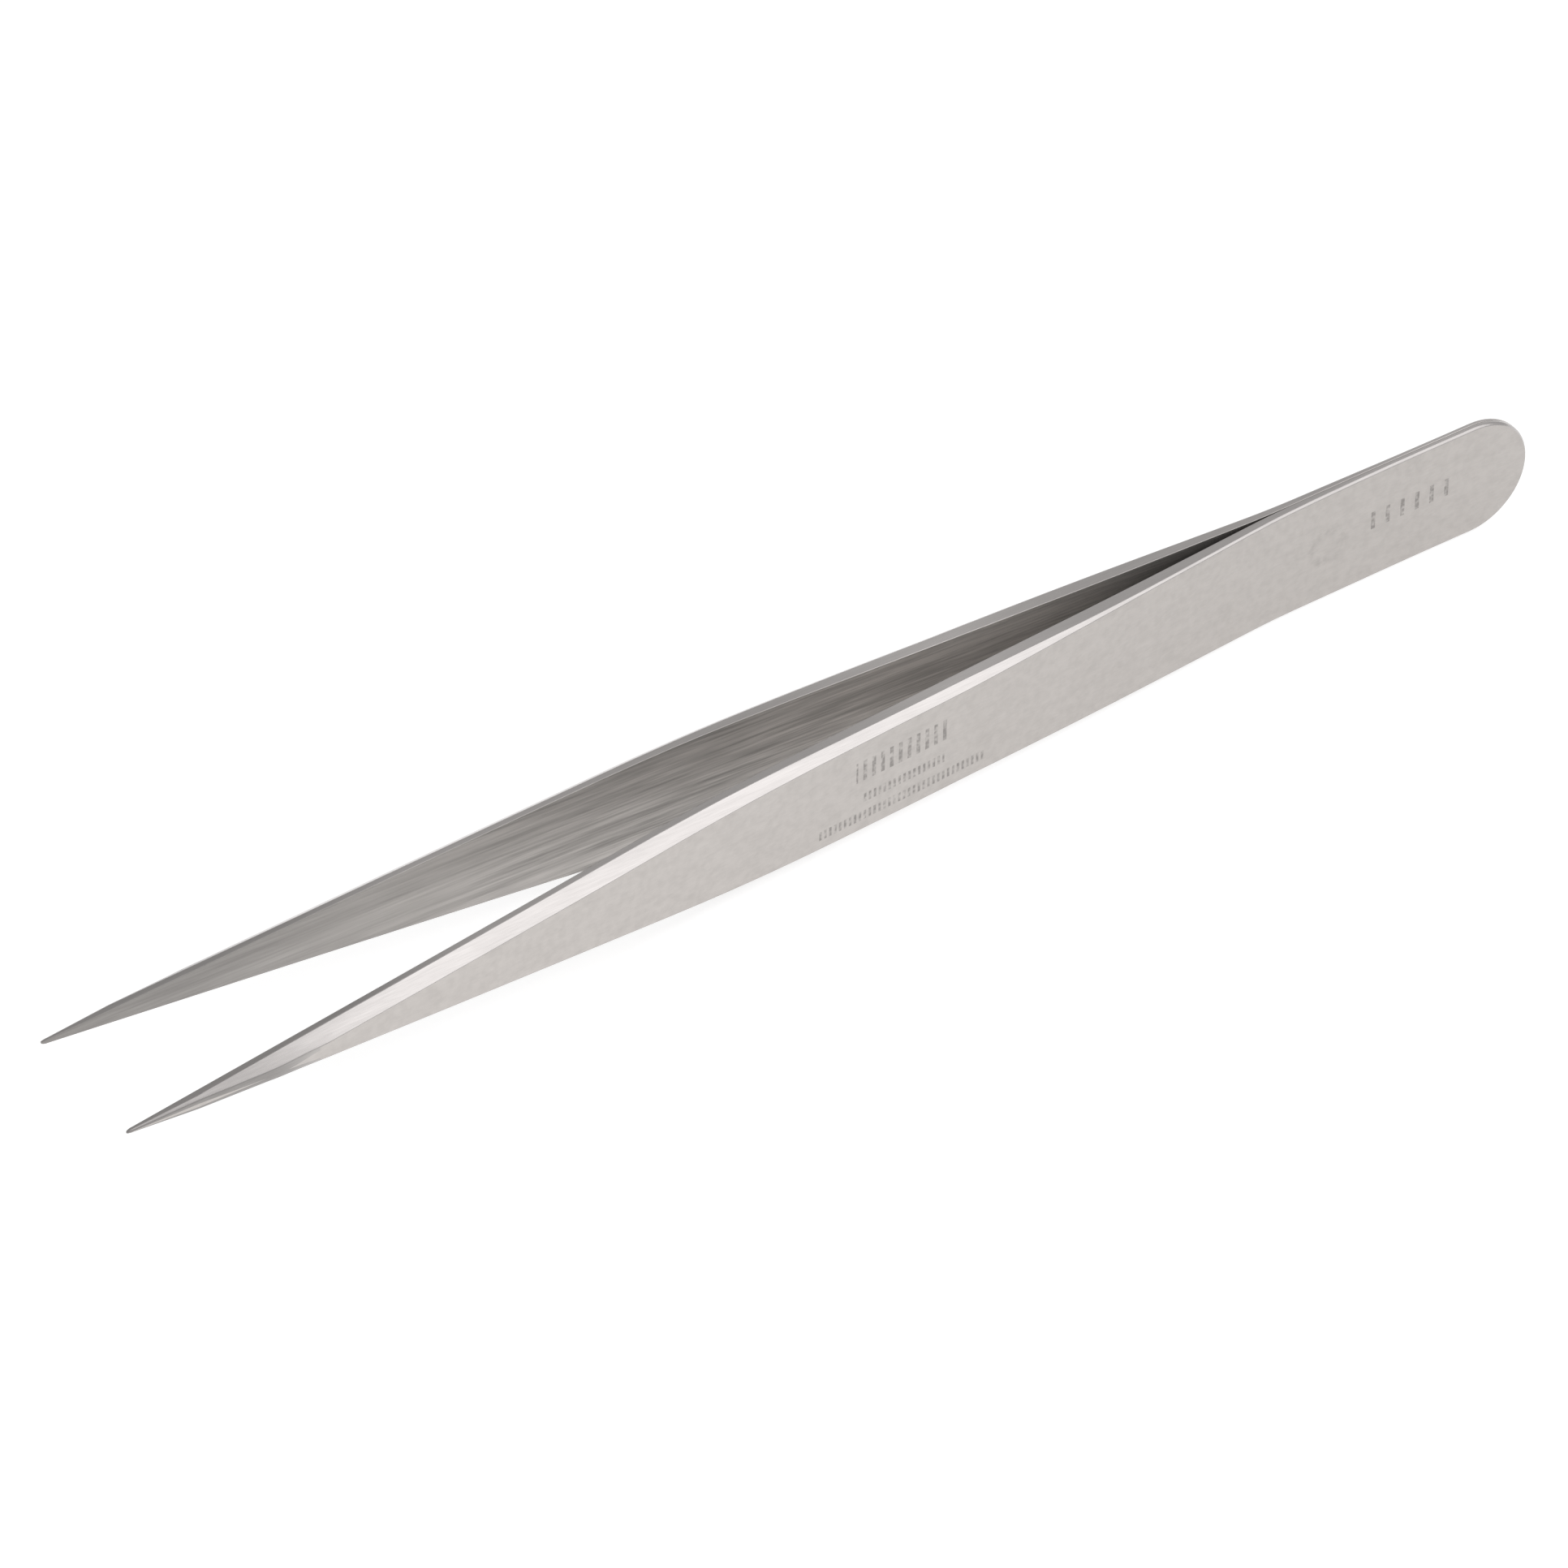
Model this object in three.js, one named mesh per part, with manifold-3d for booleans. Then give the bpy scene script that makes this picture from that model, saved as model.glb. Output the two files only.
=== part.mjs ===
// Precision tweezers: two spring-steel arms welded together at the tail, which open to fine points.
// Millimetres. X runs along the tweezers with the welded tail at x = 0 and the points at x = -LENGTH,
// Y runs across the two arms (near arm at -Y, far arm at +Y), and Z runs across the width of each
// strip, so the tweezers lie on their narrow edges on z = 0. The model is moved to its origin last.
import * as THREE from 'three';
import { mergeVertices } from 'three/addons/utils/BufferGeometryUtils.js';
import Module from 'manifold-3d';

const wasm = await Module();
wasm.setup();

// ---------------------------------------------------------------- driving dimensions
const LENGTH = 140;
const STRIP_WIDTH = 10.4;
const TAIL_WIDTH = 11.1; // the strip is a little wider over its welded end
const TAIL_NARROWING = [15, 46];
const TIP_WIDTH = 0.3;
const TAIL_ROUND = TAIL_WIDTH / 2; // the tail ends in a half circle
const TAIL_FLAT = 1.2; // the short straight stretch left at the very end of the round

const WELDED_LENGTH = 22.5; // the arms lie face to face up to here
const OPEN_SLOPE = 0.0592; // how fast each arm leaves the middle after the root bend
const ROOT_BEND_END = 29;
const TURN_IN_SLOPE = 0.0143; // taken off that slope by the bend at the grip
const TURN_IN_START = 65;
const TURN_IN_END = 125;

const NARROWING_START = 70; // where the strip's width begins to run down to the point
const NARROWING_END = 93;

const TAIL_THICKNESS = 0.5;
const GRIP_THICKNESS = 1.65;
const TIP_THICKNESS = 0.3;
const THICKENING = [8, 63];
const THINNING = [126, LENGTH];

const EDGE_BREAK = 0.2; // the small broken edge left along the tail
const GRIP_LAND = 0.95; // the flat of the narrow edge that is left beside the full bevel
const POINT_LAND = 0.55; // the same from the grip to the point
const LAND_CHANGE = [61, 95];
const LAND_SHARE = 0.6; // the most of the thickness that the land takes near the point
const BEVEL = [36, 60]; // the ground bevel on the outer edges grows between these
const BEVEL_RISE = 0.9; // bevel height for each millimetre of its depth

const PIVOT = 34; // middle of the stretch where an arm bends when it is squeezed
const SPLIT_GAP = 0.3;

const WELD_PLACES = [12.5, 20.5];
const WELD_RADIUS = 1.5;
const WELD_THICKNESS = 0.5; // a quarter of a millimetre into each arm
const POCKET_CLEARANCE = 0.3;

const ARM_STEPS = 72;

// ---------------------------------------------------------------- materials
function steel(name, colour) {
  const material = new THREE.MeshStandardMaterial({ color: colour, roughness: 0.32, metalness: 1 });
  material.name = name;
  return material;
}

// ---------------------------------------------------------------- the shape of one arm
function ease(x, start, end) {
  return THREE.MathUtils.smoothstep(x, start, end);
}

// The distance gained past a smooth change of slope that starts and ends where it says.
function slopeGain(x, start, end) {
  const span = end - start;
  const s = THREE.MathUtils.clamp((x - start) / span, 0, 1);
  return span * (s ** 3 - s ** 4 / 2) + Math.max(0, x - end);
}

function halfGap(x) {
  const opening = OPEN_SLOPE * slopeGain(x, WELDED_LENGTH, ROOT_BEND_END);
  return opening - TURN_IN_SLOPE * slopeGain(x, TURN_IN_START, TURN_IN_END);
}

function halfWidth(x) {
  const full = STRIP_WIDTH / 2;
  const reach = slopeGain(LENGTH, NARROWING_START, NARROWING_END);
  const narrowed = slopeGain(x, NARROWING_START, NARROWING_END) / reach;
  const wider = (TAIL_WIDTH - STRIP_WIDTH) / 2 * (1 - ease(x, ...TAIL_NARROWING));
  const side = full + wider - (full - TIP_WIDTH / 2) * narrowed;
  const inRound = THREE.MathUtils.clamp(1 - x / TAIL_ROUND, 0, 1);
  const end = TAIL_FLAT / 2;
  return Math.sqrt(end ** 2 + (side ** 2 - end ** 2) * (1 - inRound ** 2));
}

function thickness(x) {
  const grown = TAIL_THICKNESS + (GRIP_THICKNESS - TAIL_THICKNESS) * ease(x, ...THICKENING);
  const [start, end] = THINNING;
  const thinned = THREE.MathUtils.clamp((x - start) / (end - start), 0, 1);
  return THREE.MathUtils.lerp(grown, TIP_THICKNESS, thinned);
}

// The six corners of the strip's section at x, as [distance out from the inner face, height].
function section(x) {
  const half = halfWidth(x);
  const thick = thickness(x);
  const beside = THREE.MathUtils.lerp(GRIP_LAND, POINT_LAND, ease(x, ...LAND_CHANGE));
  const land = THREE.MathUtils.lerp(
    thick - EDGE_BREAK, Math.min(beside, LAND_SHARE * thick), ease(x, ...BEVEL));
  const rise = Math.min(BEVEL_RISE * (thick - land), half * LAND_SHARE);
  return [
    [0, half], [land, half], [thick, half - rise],
    [thick, rise - half], [land, -half], [0, -half],
  ];
}

// A closed solid of the arm between two distances from the tail: a six-sided bar with a row of
// vertices at each step, which are then moved out to the section at that step. side is -1 for the
// near arm and 1 for the far one.
function armGeometry(side, from, to) {
  const bar = new THREE.Shape();
  const corners = 6;
  for (let i = 0; i < corners; i++) {
    const turn = -2 * Math.PI * (i + 0.5) / corners;
    bar[i === 0 ? 'moveTo' : 'lineTo'](Math.cos(turn), Math.sin(turn));
  }
  bar.closePath();
  const steps = Math.ceil(ARM_STEPS * (to - from) / LENGTH) + (from === 0 ? 12 : 0);
  const geometry = new THREE.ExtrudeGeometry(bar, { depth: 1, steps, bevelEnabled: false });
  const position = geometry.attributes.position;
  for (let i = 0; i < position.count; i++) {
    const turn = Math.atan2(position.getY(i), position.getX(i));
    const corner = (Math.round(-turn * corners / (2 * Math.PI) - 0.5) + corners) % corners;
    const along = position.getZ(i);
    const eased = from === 0 ? along ** 2 : along; // closer steps around the rounded tail
    const x = THREE.MathUtils.lerp(from, to, eased);
    const [out, height] = section(x)[corner];
    position.setXYZ(i, -x, side * (halfGap(x) + out), TAIL_WIDTH / 2 - side * height);
  }
  return geometry;
}

// ---------------------------------------------------------------- cutting
function toSolid(geometry) {
  const bare = geometry.clone();
  bare.deleteAttribute('normal');
  bare.deleteAttribute('uv');
  const merged = mergeVertices(bare);
  return new wasm.Manifold(new wasm.Mesh({
    numProp: 3,
    vertProperties: new Float32Array(merged.attributes.position.array),
    triVerts: new Uint32Array(merged.index.array),
  }));
}

function toGeometry(solid) {
  const mesh = solid.getMesh();
  const geometry = new THREE.BufferGeometry();
  geometry.setAttribute('position', new THREE.BufferAttribute(mesh.vertProperties, 3));
  geometry.setIndex(new THREE.BufferAttribute(mesh.triVerts, 1));
  geometry.computeVertexNormals();
  return geometry;
}

// ---------------------------------------------------------------- the pieces
const satinSteel = steel('satin_steel', 0xc0bbb8);
const weldSteel = steel('weld_steel', 0x8f8c88);

function piece(name, geometry, material) {
  const mesh = new THREE.Mesh(geometry, material.clone());
  mesh.name = name;
  return mesh;
}

function weldDisc(place, radius) {
  const disc = new THREE.CylinderGeometry(radius, radius, WELD_THICKNESS, 32);
  return disc.translate(-place, 0, TAIL_WIDTH / 2);
}

// The welded end of an arm, up to its bending stretch, with a shallow pocket for each weld nugget.
function armTail(side) {
  let solid = toSolid(armGeometry(side, 0, PIVOT - SPLIT_GAP / 2));
  for (const place of WELD_PLACES) {
    solid = solid.subtract(toSolid(weldDisc(place, WELD_RADIUS + POCKET_CLEARANCE)));
  }
  return toGeometry(solid);
}

// The springing part of an arm, from its bending stretch to the point.
function armBlade(side) {
  return armGeometry(side, PIVOT + SPLIT_GAP / 2, LENGTH);
}

const NEAR = -1;
const FAR = 1;
const tweezers = new THREE.Group();
for (const [name, side] of [['near_arm', NEAR], ['far_arm', FAR]]) {
  tweezers.add(piece(`${name}_tail`, armTail(side), satinSteel));
  tweezers.add(piece(`${name}_blade`, armBlade(side), satinSteel));
}
WELD_PLACES.forEach((place, i) => {
  tweezers.add(piece(`spot_weld_${i + 1}`, weldDisc(place, WELD_RADIUS), weldSteel));
});

// The origin is under the middle of the length, on the surface that the tweezers lie on.
tweezers.position.x = LENGTH / 2;

export default tweezers;
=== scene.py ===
import math

import bmesh
import bpy
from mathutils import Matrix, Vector


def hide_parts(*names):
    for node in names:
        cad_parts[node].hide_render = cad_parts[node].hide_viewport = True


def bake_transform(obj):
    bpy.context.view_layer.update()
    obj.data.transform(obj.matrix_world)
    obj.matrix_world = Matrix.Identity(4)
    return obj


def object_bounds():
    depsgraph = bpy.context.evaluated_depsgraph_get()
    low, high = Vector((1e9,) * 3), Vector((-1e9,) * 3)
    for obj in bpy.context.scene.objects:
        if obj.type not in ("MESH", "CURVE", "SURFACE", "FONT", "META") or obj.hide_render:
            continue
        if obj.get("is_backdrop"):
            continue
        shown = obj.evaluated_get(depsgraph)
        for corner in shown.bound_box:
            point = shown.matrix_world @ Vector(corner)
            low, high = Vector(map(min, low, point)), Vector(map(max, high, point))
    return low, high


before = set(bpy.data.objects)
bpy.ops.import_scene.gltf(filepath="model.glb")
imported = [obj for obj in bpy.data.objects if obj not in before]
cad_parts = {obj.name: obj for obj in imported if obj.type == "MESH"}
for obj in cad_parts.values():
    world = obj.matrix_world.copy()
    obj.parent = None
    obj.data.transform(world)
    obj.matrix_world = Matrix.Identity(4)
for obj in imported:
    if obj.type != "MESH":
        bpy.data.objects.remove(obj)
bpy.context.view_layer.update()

# ------------------------------------------------------------------ near arm
# One strip of stainless spring steel, ground thin at the tail, thick at the grip and down to a
# fine point, with a half-round tail end and a long ground bevel on its outer edges. It is spot
# welded to the far arm at the tail, and bends near the weld when the fingers press it.

# Sizes are in millimetres. A pair says where a change along the strip starts and ends, measured
# from the tail end.
MM = 0.001
LENGTH = 140
STRIP_WIDTH = 10.4
TAIL_WIDTH = 11.1
TAIL_NARROWING = (15, 46)
TAIL_ROUND = TAIL_WIDTH / 2
MIDDLE = TAIL_WIDTH / 2     # height of the middle of the strip over the floor
TIP_WIDTH = 0.3
POINT_NARROWING = (70, 93)

OPEN_SLOPE = 0.0592         # how fast each arm leaves the middle after the root bend
ROOT_BEND = (22.5, 29)
TURN_IN_SLOPE = 0.0143      # taken off that slope by the bend at the grip
TURN_IN = (65, 125)

TAIL_THICKNESS = 0.5
GRIP_THICKNESS = 1.65
TIP_THICKNESS = 0.3
THICKENING = (8, 63)
THINNING_START = 126

TAIL_BREAK = 0.2            # the small broken edge that the bevel starts from
BEVEL_GROWTH = (36, 60)
BEVEL_RISE = 0.9            # height of the bevel for each millimetre of its depth
GRIP_LAND = 0.95            # the flat of the narrow edge that is left beside the full bevel
POINT_LAND = 0.55
LAND_CHANGE = (61, 95)
LAND_SHARE = 0.6            # the most of the thickness that the land takes
BEVEL_SHARE = 0.6           # the most of the half width that the bevel takes

POINT_FACET = 0.65          # height of the extra facet ground beside the point
FACET_BEFORE = 0.14         # height of the strip of outer face that becomes the facet
FACET_SHARE = 0.4           # the most of the half width that it takes
FACET_GROWTH = (120, 127)
FACET_TILT = 0.27
FACET_TURN = (121, 124)

EDGE_RADIUS = 0.06
ROUND_MIDDLE = 0.293        # how far the middle of a quarter round is from its two flats
SOFT_CORNER = 0.1           # how much of the radius a blunt corner loses
NEAR = -1


def ease(value, start, end):
    s = min(max((value - start) / (end - start), 0.0), 1.0)
    return s * s * (3 - 2 * s)


def slope_gain(along, start, end):
    """Distance gained past a smooth change of slope that starts and ends where it says."""
    span = end - start
    s = min(max((along - start) / span, 0.0), 1.0)
    return span * (s ** 3 - s ** 4 / 2) + max(0.0, along - end)


def half_gap(along):
    opening = OPEN_SLOPE * slope_gain(along, *ROOT_BEND)
    return opening - TURN_IN_SLOPE * slope_gain(along, *TURN_IN)


def half_width(along):
    full = STRIP_WIDTH / 2
    narrowed = slope_gain(along, *POINT_NARROWING) / slope_gain(LENGTH, *POINT_NARROWING)
    wider = (TAIL_WIDTH - STRIP_WIDTH) / 2 * (1 - ease(along, *TAIL_NARROWING))
    return full + wider - (full - TIP_WIDTH / 2) * narrowed


def thickness(along):
    grown = TAIL_THICKNESS + (GRIP_THICKNESS - TAIL_THICKNESS) * ease(along, *THICKENING)
    thinned = min(max((along - THINNING_START) / (LENGTH - THINNING_START), 0.0), 1.0)
    return grown + (TIP_THICKNESS - grown) * thinned


def upper_section(along):
    """The upper half of the strip's section, from the middle of the inner face round the edge to
    the middle of the outer face, as (distance out, distance in from the edge)."""
    half = half_width(along)
    thick = thickness(along)
    ground_land = GRIP_LAND + (POINT_LAND - GRIP_LAND) * ease(along, *LAND_CHANGE)
    land = thick - TAIL_BREAK
    land += (min(ground_land, LAND_SHARE * thick) - land) * ease(along, *BEVEL_GROWTH)
    facet = FACET_BEFORE + (POINT_FACET - FACET_BEFORE) * ease(along, *FACET_GROWTH)
    facet = min(facet, half * FACET_SHARE)
    corner_out = thick - FACET_TILT * facet * ease(along, *FACET_TURN)
    rise = min(BEVEL_RISE * (corner_out - land), half * BEVEL_SHARE)
    run = math.hypot(corner_out - land, rise)
    out_step, in_step = (corner_out - land) / run, rise / run
    inner = min(EDGE_RADIUS, land / 3, half / 3)
    radius = min(EDGE_RADIUS, land / 3, run / 3)
    return [
        (0, inner),
        (inner * ROUND_MIDDLE, inner * ROUND_MIDDLE),
        (inner, 0),
        (land - radius, 0),
        (land - radius * SOFT_CORNER, radius * SOFT_CORNER),
        (land + radius * out_step, radius * in_step),
        (corner_out - radius * out_step, rise - radius * in_step),
        (corner_out - radius * SOFT_CORNER, rise + radius * SOFT_CORNER / 2),
        (corner_out + (thick - corner_out) * radius / facet, rise + radius),
        (thick, rise + facet),
    ]


ROUND_STEPS = 16
STEP = 1.0
FINE_STEP = 0.4
FINE_STRETCH = 4            # the last stretch before the point, taken in fine steps
POINT_ROUND = 0.3           # length of the rounded point


def stations():
    """(distance along, half width, turn of the outline) from the tail end to the point."""
    found = []
    for i in range(ROUND_STEPS):
        turn = math.pi / 2 * i / ROUND_STEPS
        found.append((TAIL_ROUND * (1 - math.cos(turn)), TAIL_ROUND * math.sin(turn), turn))
    along = TAIL_ROUND
    while along < LENGTH - POINT_ROUND:
        found.append((along, half_width(along), math.pi / 2))
        along += STEP if along < LENGTH - FINE_STRETCH else FINE_STEP
    return found


def ring_points(station):
    """The closed ring of points round the strip at one station, for the near arm."""
    along, half, turn = station
    upper = upper_section(along)
    inner_middle = (0, upper[0][1])
    outer_middle = (upper[-1][0], upper[-1][1])
    points = []
    for level, run in ((0, [inner_middle]), (1, upper), (0, [outer_middle]), (-1, upper[::-1])):
        for out, inset in run:
            d = along + inset * math.cos(turn)
            height = level * (half - inset * math.sin(turn))
            y = NEAR * (half_gap(d) + out)
            points.append(Vector((LENGTH / 2 - d, y, MIDDLE + height)) * MM)
    return points


rings = [ring_points(station) for station in stations()]

# The last rings draw in over the rounded point, and stop short of a needle.
BLUNTNESS = 0.9
end_ring = rings[-1]
end_middle = sum(end_ring, Vector()) / len(end_ring)
point_run = end_middle.x + LENGTH / 2 * MM
for share in (0.45, 0.8, 1.0):
    shrink = math.sqrt(1 - (share * BLUNTNESS) ** 2)
    away = Vector((-point_run * share, 0, 0))
    rings.append([end_middle + (p - end_middle) * shrink + away for p in end_ring])

# A circle is drawn out once for each ring, and its points are then set on the rings.
MERGE_DISTANCE = 1e-7
ring_count = len(rings[0])
bpy.ops.object.select_all(action="DESELECT")
bpy.ops.mesh.primitive_circle_add(
    vertices=ring_count, radius=STRIP_WIDTH / 2 * MM, fill_type="NOTHING",
    location=(0, 0, 0), rotation=(0, 0, 0))
near_arm = bpy.context.active_object
near_arm.name = "near_arm"
near_arm.data.name = "near_arm"
bpy.ops.object.mode_set(mode="EDIT")
bpy.ops.mesh.select_all(action="SELECT")
for _ in rings[1:]:
    bpy.ops.mesh.extrude_region_move(TRANSFORM_OT_translate={"value": (0, 0, MM)})
mesh = bmesh.from_edit_mesh(near_arm.data)
for vertex in mesh.verts:
    level = round(vertex.co.z / MM)
    turn = math.atan2(vertex.co.y, vertex.co.x) / (2 * math.pi)
    vertex.co = rings[level][round(turn * ring_count) % ring_count]
bmesh.update_edit_mesh(near_arm.data)

# The point is closed with a face. The ring at the tail end has no height, so it closes when its
# points merge.
bpy.ops.mesh.select_all(action="DESELECT")
bpy.ops.mesh.select_non_manifold()
mesh = bmesh.from_edit_mesh(near_arm.data)
for vertex in mesh.verts:
    if vertex.co.x > 0:
        vertex.select = False
mesh.select_flush(False)
bpy.ops.mesh.edge_face_add()
bpy.ops.mesh.select_all(action="SELECT")
bpy.ops.mesh.remove_doubles(threshold=MERGE_DISTANCE)
bpy.ops.mesh.normals_make_consistent(inside=False)
bpy.ops.object.mode_set(mode="OBJECT")


BROAD, FINE = 0.3, 1.6      # the two layers of lines, as shares of the number that grain gives
GLOSS_SWING = 0.06


def ground_steel(name, colour, shade, roughness, grain, depth, contrast=0.15):
    """Steel with a belt-ground finish: broad and fine lines along the strip, which darken it, change
    its gloss and leave shallow grooves. grain is how many lines there are in a metre each way."""
    material = bpy.data.materials.new(name)
    material.use_nodes = True
    nodes, links = material.node_tree.nodes, material.node_tree.links
    shader = nodes["Principled BSDF"]
    shader.inputs["Metallic"].default_value = 1.0
    place = nodes.new("ShaderNodeTexCoord")
    layers = []
    for size in (BROAD, FINE):
        stretch = nodes.new("ShaderNodeMapping")
        stretch.inputs["Scale"].default_value = [g * size for g in grain]
        links.new(place.outputs["Object"], stretch.inputs["Vector"])
        lines = nodes.new("ShaderNodeTexNoise")
        lines.inputs["Scale"].default_value = 1.0
        lines.inputs["Detail"].default_value = 4.0
        lines.inputs["Roughness"].default_value = 0.6
        links.new(stretch.outputs["Vector"], lines.inputs["Vector"])
        layers.append(lines)
    both = nodes.new("ShaderNodeMix")
    both.inputs["Factor"].default_value = 0.5
    links.new(layers[0].outputs["Fac"], both.inputs["A"])
    links.new(layers[1].outputs["Fac"], both.inputs["B"])
    tint = nodes.new("ShaderNodeValToRGB")
    tint.name = "tint"
    tint.color_ramp.elements[0].position = 0.5 - contrast
    tint.color_ramp.elements[0].color = (*[c * shade for c in colour], 1)
    tint.color_ramp.elements[1].position = 0.5 + contrast
    tint.color_ramp.elements[1].color = (*colour, 1)
    links.new(both.outputs["Result"], tint.inputs["Fac"])
    links.new(tint.outputs["Color"], shader.inputs["Base Color"])
    gloss = nodes.new("ShaderNodeMapRange")
    gloss.inputs["From Min"].default_value = 0.3
    gloss.inputs["From Max"].default_value = 0.7
    gloss.inputs["To Min"].default_value = roughness + GLOSS_SWING
    gloss.inputs["To Max"].default_value = roughness - GLOSS_SWING
    links.new(both.outputs["Result"], gloss.inputs["Value"])
    links.new(gloss.outputs["Result"], shader.inputs["Roughness"])
    grooves = nodes.new("ShaderNodeBump")
    grooves.inputs["Strength"].default_value = 0.4
    grooves.inputs["Distance"].default_value = depth
    links.new(both.outputs["Result"], grooves.inputs["Height"])
    links.new(grooves.outputs["Normal"], shader.inputs["Normal"])
    return material


def calculate(material, operation, *values):
    """One Math node; a value is a number or another node's output."""
    node = material.node_tree.nodes.new("ShaderNodeMath")
    node.operation = operation
    for value, socket in zip(values, node.inputs):
        if isinstance(value, (int, float)):
            socket.default_value = value
        else:
            material.node_tree.links.new(value, socket)
    return node.outputs["Value"]


def darken(material, mask, share, roughening):
    """Takes share of the colour away where mask is 1, and makes the steel rougher there."""
    nodes, links = material.node_tree.nodes, material.node_tree.links
    shader = nodes["Principled BSDF"]
    colour = shader.inputs["Base Color"].links[0].from_socket
    rough = shader.inputs["Roughness"].links[0].from_socket
    keep = calculate(material, "SUBTRACT", 1.0, calculate(material, "MULTIPLY", mask, share))
    scale = nodes.new("ShaderNodeVectorMath")
    scale.operation = "SCALE"
    links.new(colour, scale.inputs[0])
    links.new(keep, scale.inputs["Scale"])
    links.new(scale.outputs["Vector"], shader.inputs["Base Color"])
    rougher = calculate(material, "MULTIPLY_ADD", mask, roughening, rough)
    links.new(rougher, shader.inputs["Roughness"])


def place_on(material, axis):
    """How far each point of the steel is along one axis, from the middle of the tweezers."""
    nodes, links = material.node_tree.nodes, material.node_tree.links
    split = nodes.get("place_axes")
    if split is None:
        split = nodes.new("ShaderNodeSeparateXYZ")
        split.name = "place_axes"
        links.new(nodes["Texture Coordinate"].outputs["Object"], split.inputs["Vector"])
    return split.outputs[axis]


def grows(material, start, end):
    """0 before start and 1 after end, in millimetres from the middle towards the tail. Where
    start is the larger, it grows towards the point."""
    nodes, links = material.node_tree.nodes, material.node_tree.links
    growth = nodes.new("ShaderNodeMapRange")
    growth.interpolation_type = "SMOOTHSTEP"
    growth.inputs["From Min"].default_value = start * MM
    growth.inputs["From Max"].default_value = end * MM
    links.new(place_on(material, "X"), growth.inputs["Value"])
    return growth.outputs["Result"]


WELD_MARK_PLACE = 20.5
WELD_MARK_RADIUS = 1.6
WELD_MARK_FADE = 0.7


def outer_steel(name):
    """The satin outer face: almost even, with a faint cloudiness, painted shade that makes it a little
    darker towards the tail, and the soft ring that the spot welder's electrode pressed into it."""
    material = ground_steel(name, (0.59, 0.558, 0.535), 0.94, 0.36, (900, 40, 3600), 0.000003)
    nodes, links = material.node_tree.nodes, material.node_tree.links
    place = nodes["Texture Coordinate"].outputs["Object"]
    cloud = nodes.new("ShaderNodeTexNoise")
    cloud.inputs["Scale"].default_value = 1300
    cloud.inputs["Detail"].default_value = 4
    links.new(place, cloud.inputs["Vector"])
    patch = nodes.new("ShaderNodeMapRange")
    patch.inputs["From Min"].default_value = 0.4
    patch.inputs["From Max"].default_value = 0.65
    links.new(cloud.outputs["Fac"], patch.inputs["Value"])
    darken(material, patch.outputs["Result"], 0.05, 0.03)
    # Painted shade: the face is made a little darker towards the tail.
    darken(material, grows(material, -50, 60), 0.11, 0.0)
    flat = nodes.new("ShaderNodeVectorMath")
    flat.operation = "MULTIPLY"
    flat.inputs[1].default_value = (1, 0, 1)
    links.new(place, flat.inputs[0])
    away = nodes.new("ShaderNodeVectorMath")
    away.operation = "DISTANCE"
    away.inputs[1].default_value = ((LENGTH / 2 - WELD_MARK_PLACE) * MM, 0, MIDDLE * MM)
    links.new(flat.outputs["Vector"], away.inputs[0])
    off = calculate(material, "SUBTRACT", away.outputs["Value"], WELD_MARK_RADIUS * MM)
    off = calculate(material, "ABSOLUTE", off)
    fade = calculate(material, "DIVIDE", off, WELD_MARK_FADE * MM)
    ring = calculate(material, "MAXIMUM", calculate(material, "SUBTRACT", 1.0, fade), 0.0)
    darken(material, calculate(material, "MULTIPLY", ring, patch.outputs["Result"]), 0.09, 0.03)
    return material


outer_finish = outer_steel("satin_outer_face")
marked_finish = outer_steel("satin_outer_face_marked")
bevel_finish = ground_steel(
    "ground_bevel", (0.59, 0.562, 0.552), 0.9, 0.24, (250, 6000, 6000), 0.000003)
land_finish = ground_steel(
    "ground_edge", (0.64, 0.61, 0.595), 0.9, 0.3, (400, 6000, 60), 0.000003)
facet_finish = ground_steel(
    "hand_ground_point", (0.57, 0.545, 0.53), 0.88, 0.32, (500, 6000, 6000), 0.000003)
inner_finish = ground_steel(
    "ground_inner_face", (0.76, 0.727, 0.70), 0.6, 0.58, (95, 40, 3000), 0.00001, contrast=0.1)

# Some stretches of the steel are painted darker than the rest. This is painted shade: it stands in for
# the shade between the arms near the root and for the darker reflections that the steel shows along its
# length. Each row says where the darkness grows, how much of the colour it takes and how much rougher
# the steel gets there.
for finish, start, end, share, roughening in (
        (land_finish, 14, -6, 0.22, 0.05), (land_finish, -36, -50, 0.26, 0.05),
        (facet_finish, -50, -58, 0.38, 0.05),
        (bevel_finish, -46, -61, 0.38, 0.05), (bevel_finish, 5, 40, 0.12, 0.05),
        (inner_finish, 20, 46, 0.4, 0.0), (inner_finish, 8, -12, 0.17, 0.0),
        (inner_finish, -30, -60, 0.27, 0.0)):
    darken(finish, grows(finish, start, end), share, roughening)
# Painted shade: a band of the edge's land near the root bend is made darker, and rougher.
root_painted_shade = calculate(land_finish, "MULTIPLY", grows(land_finish, 10, 28), grows(land_finish, 62, 48))
darken(land_finish, root_painted_shade, 0.18, 0.05)

# The ground lines on the inner face get fainter towards the point.
LINES_LOST = 0.65
line_tint = inner_finish.node_tree.nodes["tint"].inputs["Fac"]
swing = calculate(inner_finish, "SUBTRACT", line_tint.links[0].from_socket, 0.5)
fading = calculate(inner_finish, "MULTIPLY_ADD", grows(inner_finish, -12, -40), -LINES_LOST, 1.0)
fainter = calculate(inner_finish, "MULTIPLY_ADD", swing, fading, 0.5)
inner_finish.node_tree.links.new(fainter, line_tint)

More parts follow.
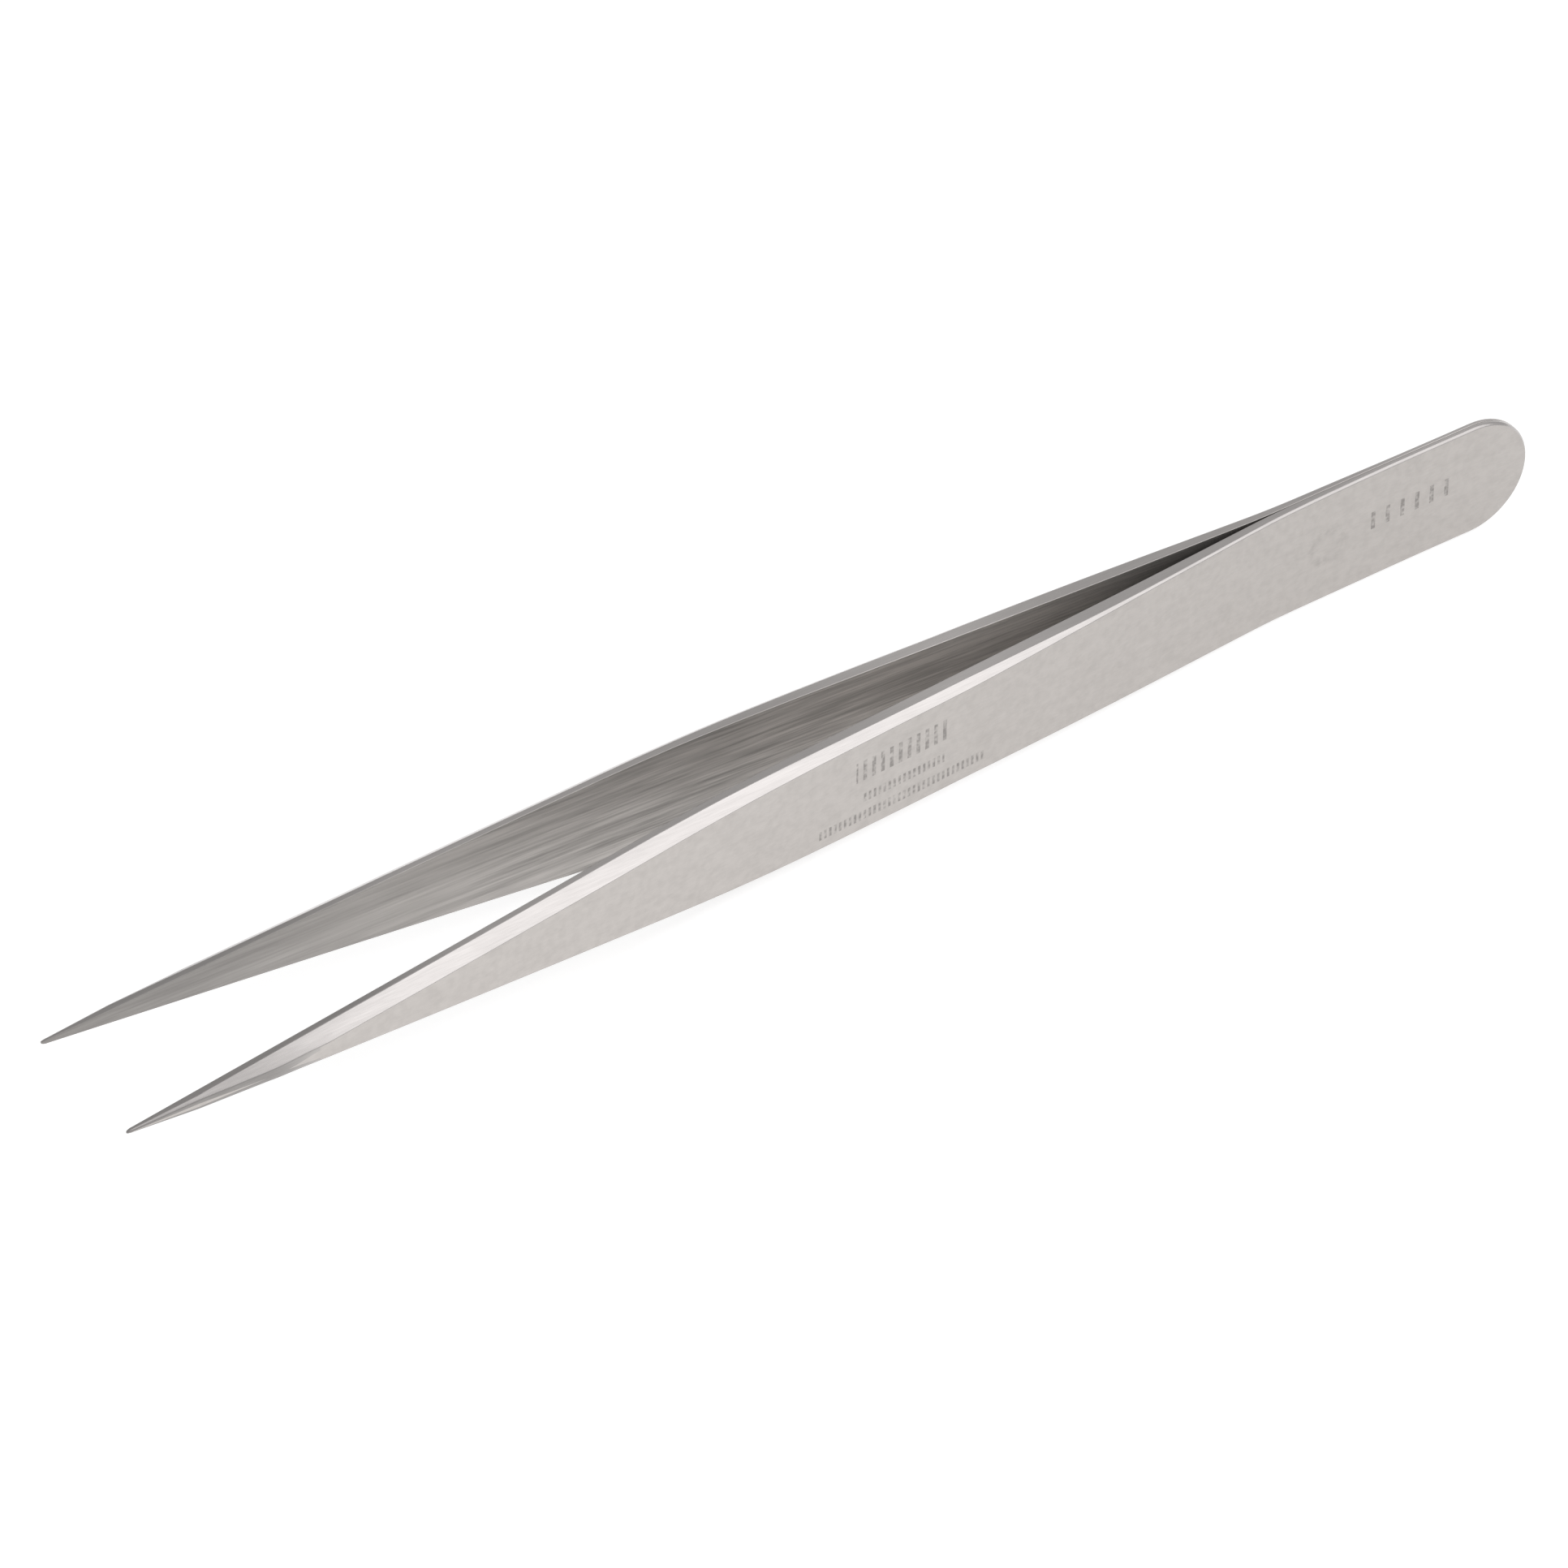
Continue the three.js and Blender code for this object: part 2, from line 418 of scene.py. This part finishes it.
# Plain etched ticks, partly rubbed away, stand where the maker etches its own marks. Each row of
# them has its start and end from the tail, its lower and upper height, the distance from one tick
# to the next, and how much of that distance is tick.
TICK_ROWS = (
    (7.5, 16.5, 5.2, 7.0, 1.5, 0.28),
    (60.5, 69.8, 6.1, 8.2, 0.9, 0.42),
    (60.8, 69.2, 3.8, 4.7, 0.5, 0.5),
    (56.7, 73.6, 2.0, 2.9, 0.5, 0.5),
)
TICK_DARKNESS = 0.36
TICK_ROUGHENING = 0.15
marked_nodes, marked_links = marked_finish.node_tree.nodes, marked_finish.node_tree.links
rubbed = marked_nodes.new("ShaderNodeTexNoise")
rubbed.inputs["Scale"].default_value = 2300
rubbed.inputs["Detail"].default_value = 2
marked_links.new(marked_nodes["Texture Coordinate"].outputs["Object"], rubbed.inputs["Vector"])
left_over = marked_nodes.new("ShaderNodeMapRange")
left_over.inputs["From Min"].default_value = 0.3
left_over.inputs["From Max"].default_value = 0.6
marked_links.new(rubbed.outputs["Fac"], left_over.inputs["Value"])
for start, end, low, high, pitch, share in TICK_ROWS:
    centre = LENGTH / 2 - (start + end) / 2
    along = calculate(marked_finish, "COMPARE", place_on(marked_finish, "X"),
                      centre * MM, (end - start) / 2 * MM)
    level = calculate(marked_finish, "COMPARE", place_on(marked_finish, "Z"),
                      (low + high) / 2 * MM, (high - low) / 2 * MM)
    beats = calculate(marked_finish, "DIVIDE", place_on(marked_finish, "X"), pitch * MM)
    tick = calculate(marked_finish, "LESS_THAN", calculate(marked_finish, "FRACT", beats), share)
    window = calculate(marked_finish, "MULTIPLY", along, level)
    whole = calculate(marked_finish, "MULTIPLY", tick, window)
    worn = calculate(marked_finish, "MULTIPLY", whole, left_over.outputs["Result"])
    darken(marked_finish, worn, TICK_DARKNESS, TICK_ROUGHENING)

for finish in (marked_finish, bevel_finish, land_finish, facet_finish, inner_finish):
    near_arm.data.materials.append(finish)
OUTER, BEVEL, LAND, FACET, INNER = range(5)

# A face gets its finish from how squarely it looks outwards: 1 is straight out, -1 straight in.
FACES_OUT = 0.94
FACES_OUT_BESIDE_POINT = 0.985
FACET_FACES_OUT = 0.85
BEVEL_FACES_OUT = 0.25
FACES_IN = -0.8
point_start = (LENGTH / 2 - FACET_GROWTH[0]) * MM
for face in near_arm.data.polygons:
    outward = face.normal.y * NEAR
    beside_point = face.center.x < point_start
    if outward > (FACES_OUT_BESIDE_POINT if beside_point else FACES_OUT):
        face.material_index = OUTER
    elif outward > FACET_FACES_OUT and beside_point:
        face.material_index = FACET
    elif outward > BEVEL_FACES_OUT:
        face.material_index = BEVEL
    elif outward > FACES_IN:
        face.material_index = LAND
    else:
        face.material_index = INNER

bpy.ops.object.shade_smooth_by_angle(angle=math.radians(50), keep_sharp_edges=True)
weighted = near_arm.modifiers.new("flat faces stay flat", "WEIGHTED_NORMAL")
weighted.keep_sharp = True
weighted.weight = 100
bpy.ops.object.modifier_apply(modifier=weighted.name)

# ------------------------------------------------------------------ far arm
# The same strip of spring steel turned half a turn about its own length, so that the two inner
# faces meet at the tail, where the arms are welded. It carries no marks.
bpy.ops.object.select_all(action="DESELECT")
near_arm.select_set(True)
bpy.context.view_layer.objects.active = near_arm
bpy.ops.object.duplicate(linked=False)
far_arm = bpy.context.active_object
far_arm.name = "far_arm"
far_arm.data.name = "far_arm"
far_arm.data.materials[OUTER] = outer_finish
bpy.ops.object.mode_set(mode="EDIT")
bpy.ops.mesh.select_all(action="SELECT")
bpy.ops.transform.rotate(value=math.pi, orient_axis="X", center_override=(0, 0, MIDDLE * MM))
bpy.ops.object.mode_set(mode="OBJECT")

# The imported tail and blade of each arm are hidden, and each arm's transform is baked into its points.
for arm, name in ((near_arm, "near"), (far_arm, "far")):
    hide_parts(f"{name}_arm_tail", f"{name}_arm_blade")
    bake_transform(arm)

# ------------------------------------------------------------------ spot welds
# Two round nuggets where the arms were fused face to face by a spot welder. They are grey and
# rougher than the strip, because the metal melted and set again.
weld_finish = ground_steel("fused_weld", (0.27, 0.26, 0.25), 0.7, 0.5, (3000, 3000, 3000), 0.00001)
for name in ("spot_weld_1", "spot_weld_2"):
    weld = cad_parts[name]
    weld.data.materials.clear()
    weld.data.materials.append(weld_finish)

# ------------------------------------------------------------------ floor and light
# A plain white light table that glows a little under the tweezers, a pale room, and one large
# softbox overhead, on the near arm's side.
FLOOR_DROP = 0.00003        # keeps the floor just clear of the steel, in metres
bpy.ops.object.select_all(action="DESELECT")
bpy.ops.mesh.primitive_plane_add(size=6, location=(0, 0, -FLOOR_DROP))
floor = bpy.context.active_object
floor.name = "floor"
floor_white = bpy.data.materials.new("floor_white")
floor_white.use_nodes = True
paint = floor_white.node_tree.nodes["Principled BSDF"]
paint.inputs["Base Color"].default_value = (0.55, 0.55, 0.55, 1)
paint.inputs["Roughness"].default_value = 0.9
paint.inputs["Specular IOR Level"].default_value = 0.0
paint.inputs["Emission Color"].default_value = (1, 1, 1, 1)
paint.inputs["Emission Strength"].default_value = 0.68
floor.data.materials.append(floor_white)
floor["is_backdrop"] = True

world = bpy.data.worlds.new("pale_room")
world.use_nodes = True
world.node_tree.nodes["Background"].inputs["Color"].default_value = (1, 1, 1, 1)
world.node_tree.nodes["Background"].inputs["Strength"].default_value = 0.62
bpy.context.scene.world = world

SOFTBOX_AWAY = 0.7
SOFTBOX_SIZE = 0.6
SOFTBOX_GLOW = 0.98
softbox_way = Vector((0.4507, -0.464, 0.749)).normalized()
bpy.ops.object.light_add(type="AREA", location=softbox_way * SOFTBOX_AWAY)
softbox = bpy.context.active_object
softbox.name = "overhead_softbox"
softbox.rotation_euler = softbox_way.to_track_quat("Z", "Y").to_euler()
softbox.data.size = SOFTBOX_SIZE
softbox.data.energy = math.pi * SOFTBOX_SIZE ** 2 * SOFTBOX_GLOW

# ------------------------------------------------------------------ camera
# A long lens about a metre away. It looks down from the near arm's side and a little from the
# points, and is set off the middle of the tweezers by a few millimetres.
AZIMUTH = math.radians(-34.856)
ELEVATION = math.radians(40.859)
ROLL = math.radians(0.729)
DISTANCE = 1052.6
SET_RIGHT = -3.212
SET_UP = -1.805
right = Vector((math.cos(AZIMUTH), math.sin(AZIMUTH), 0))
up = Vector((-math.sin(AZIMUTH) * math.sin(ELEVATION), math.cos(AZIMUTH) * math.sin(ELEVATION),
             math.cos(ELEVATION)))
back = right.cross(up)
rolled_right = right * math.cos(ROLL) + up * math.sin(ROLL)
rolled_up = up * math.cos(ROLL) - right * math.sin(ROLL)
place = Vector((0, 0, MIDDLE)) + back * DISTANCE + rolled_right * SET_RIGHT + rolled_up * SET_UP
bpy.ops.object.camera_add(location=place * MM)
camera = bpy.context.active_object
camera.name = "camera"
turned = camera.matrix_world.to_3x3()
turned.col[0], turned.col[1], turned.col[2] = rolled_right, rolled_up, back
camera.rotation_euler = turned.to_euler()
camera.data.sensor_width = 36
camera.data.lens = 301.35
camera.data.clip_start = 0.05
camera.data.clip_end = 20
bpy.context.scene.camera = camera
bpy.context.scene.view_settings.view_transform = "Standard"

bpy.context.view_layer.update()
low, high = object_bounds()
